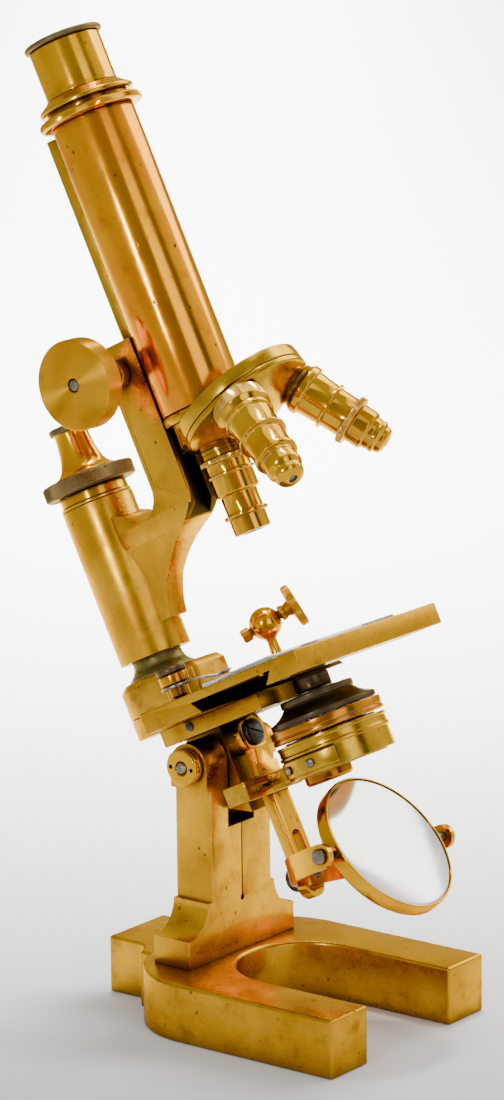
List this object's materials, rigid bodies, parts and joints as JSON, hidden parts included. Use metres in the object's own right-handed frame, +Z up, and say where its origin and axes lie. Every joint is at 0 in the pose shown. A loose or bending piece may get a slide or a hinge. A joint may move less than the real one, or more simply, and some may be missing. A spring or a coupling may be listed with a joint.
{
  "type": "monocular microscope",
  "caption": "Antique brass compound microscope on a horseshoe foot, with an inclining limb, rack focusing, a revolving nosepiece, a square stage, a condenser and a swinging mirror",
  "frame": {"origin": "on the foot's underside, below the trunnion and on the centre plane", "axes": "+X forward between the open prongs, +Y to the far side, +Z up; the limb leans back 26.2 degrees towards -X"},
  "size_m": [0.1813, 0.096, 0.3677],
  "materials": {
    "lacquered_brass": "lacquered and worn",
    "red_brass": "polished red brass",
    "dark_bronze": "dark chemical bronzing",
    "dark_steel": "blackened steel",
    "clear_glass": "polished",
    "silvered_glass": "silvered plane mirror"
  },
  "bodies": {
    "stand": {"foot": "lacquered_brass", "pillar": "lacquered_brass", "foot_screw_near": "dark_steel", "foot_screw_far": "dark_steel", "pivot_pin": "dark_steel", "pivot_nut_near": "lacquered_brass", "pivot_nut_far": "lacquered_brass"},
    "limb": {"hinge_plate": "lacquered_brass", "plate_screw": "dark_steel", "stage_plate": "lacquered_brass", "stage_glass": "clear_glass", "limb_boss": "lacquered_brass", "column_core": "lacquered_brass", "tail_bar": "lacquered_brass", "tail_screw": "dark_steel"},
    "arm_carrier": {"arm": "lacquered_brass", "column_collar": "lacquered_brass", "pinion_bush_near": "red_brass", "pinion_bush_far": "red_brass"},
    "fine_screw": {"fine_disc": "dark_bronze", "fine_knob": "lacquered_brass"},
    "pinion": {"pinion_shaft": "dark_steel", "coarse_knob_near": "lacquered_brass", "coarse_knob_far": "lacquered_brass"},
    "tube": {"body_tube": "lacquered_brass", "rack_bar": "lacquered_brass", "tube_ring": "lacquered_brass", "nose_plate": "lacquered_brass", "nose_screw": "dark_steel"},
    "draw": {"draw_tube": "lacquered_brass"},
    "eyepiece": {"eyepiece_barrel": "lacquered_brass", "eyepiece_cap": "dark_bronze", "eye_lens": "clear_glass"},
    "nosepiece": {"nose_disc": "lacquered_brass", "objective_low": "lacquered_brass", "objective_high": "lacquered_brass", "objective_mid": "lacquered_brass", "front_lens_low": "clear_glass", "front_lens_high": "clear_glass", "front_lens_mid": "clear_glass"},
    "clip": {"clip_post": "lacquered_brass", "clip_cap": "dark_bronze", "clip_spring": "dark_steel"},
    "stop_post": {"ball_post": "lacquered_brass"},
    "stop_screw": {"thumbscrew": "lacquered_brass"},
    "substage": {"substage_carriage": "lacquered_brass", "substage_strap": "lacquered_brass", "strap_screw_front": "dark_steel", "strap_screw_rear": "dark_steel", "condenser_mount": "red_brass", "condenser_collar": "red_brass", "condenser_head": "dark_bronze", "condenser_cap": "dark_bronze", "condenser_lens": "clear_glass"},
    "mirror_yoke": {"mirror_fork": "lacquered_brass", "mirror_pivot_near": "dark_steel", "mirror_pivot_far": "dark_steel", "mirror_bolt": "dark_steel"},
    "mirror": {"mirror_cell": "lacquered_brass", "mirror_glass": "silvered_glass"}
  },
  "joints": [
    {"name": "inclination", "type": "hinge", "parent": "stand", "child": "limb", "pos_m": [0, 0, 0.09725], "axis": [0, 1, 0], "range_deg": [-63.8, 26.2]},
    {"name": "fine_travel", "type": "slide", "parent": "limb", "child": "arm_carrier", "axis": [-0.4415, 0, 0.8973], "range_m": [-0.001, 0.001]},
    {"name": "fine_turn", "type": "hinge", "parent": "arm_carrier", "child": "fine_screw", "pos_m": [-0.062, 0, 0.1938], "axis": [-0.4415, 0, 0.8973], "range_deg": [-721, 721]},
    {"name": "coarse_turn", "type": "hinge", "parent": "arm_carrier", "child": "pinion", "pos_m": [-0.03894, 0, 0.23913], "axis": [0, 1, 0], "range_deg": [-187, 447]},
    {"name": "coarse_travel", "type": "slide", "parent": "arm_carrier", "child": "tube", "axis": [-0.4415, 0, 0.8973], "range_m": [-0.0335, 0.014]},
    {"name": "draw_slide", "type": "slide", "parent": "tube", "child": "draw", "axis": [-0.4415, 0, 0.8973], "range_m": [0, 0.04]},
    {"name": "eyepiece_slide", "type": "slide", "parent": "draw", "child": "eyepiece", "axis": [-0.4415, 0, 0.8973], "range_m": [0, 0.03]},
    {"name": "nosepiece_turn", "type": "hinge", "parent": "tube", "child": "nosepiece", "pos_m": [0.01143, 0, 0.23364], "axis": [0.7302, 0, -0.6833], "continuous": true},
    {"name": "clip_turn", "type": "hinge", "parent": "limb", "child": "clip", "pos_m": [0.00729, -0.036, 0.13204], "axis": [-0.4415, 0, 0.8973], "range_deg": [-35, 60]},
    {"name": "stop_post_turn", "type": "hinge", "parent": "limb", "child": "stop_post", "pos_m": [0.00246, 0.03, 0.13189], "axis": [-0.4415, 0, 0.8973], "range_deg": [-50, 60]},
    {"name": "thumbscrew_turn", "type": "hinge", "parent": "stop_post", "child": "stop_screw", "pos_m": [-0.00205, 0.03, 0.14105], "axis": [0.5873, 0.6305, 0.5075], "continuous": true},
    {"name": "substage_slide", "type": "slide", "parent": "limb", "child": "substage", "axis": [-0.4415, 0, 0.8973], "range_m": [0, 0.004]},
    {"name": "mirror_swing", "type": "hinge", "parent": "limb", "child": "mirror_yoke", "pos_m": [0.03892, 0, 0.05666], "axis": [0.8973, 0, 0.4415], "range_deg": [-13, 29]},
    {"name": "mirror_tilt", "type": "hinge", "parent": "mirror_yoke", "child": "mirror", "pos_m": [0.07418, 0, 0.07401], "axis": [0.0618, 0.9901, -0.1256], "continuous": true}
  ],
  "couplings": [
    {"joint": "fine_turn", "follows": "fine_travel", "rad_per_m": -12566},
    {"joint": "coarse_turn", "follows": "coarse_travel", "rad_per_m": -232.56}
  ]
}
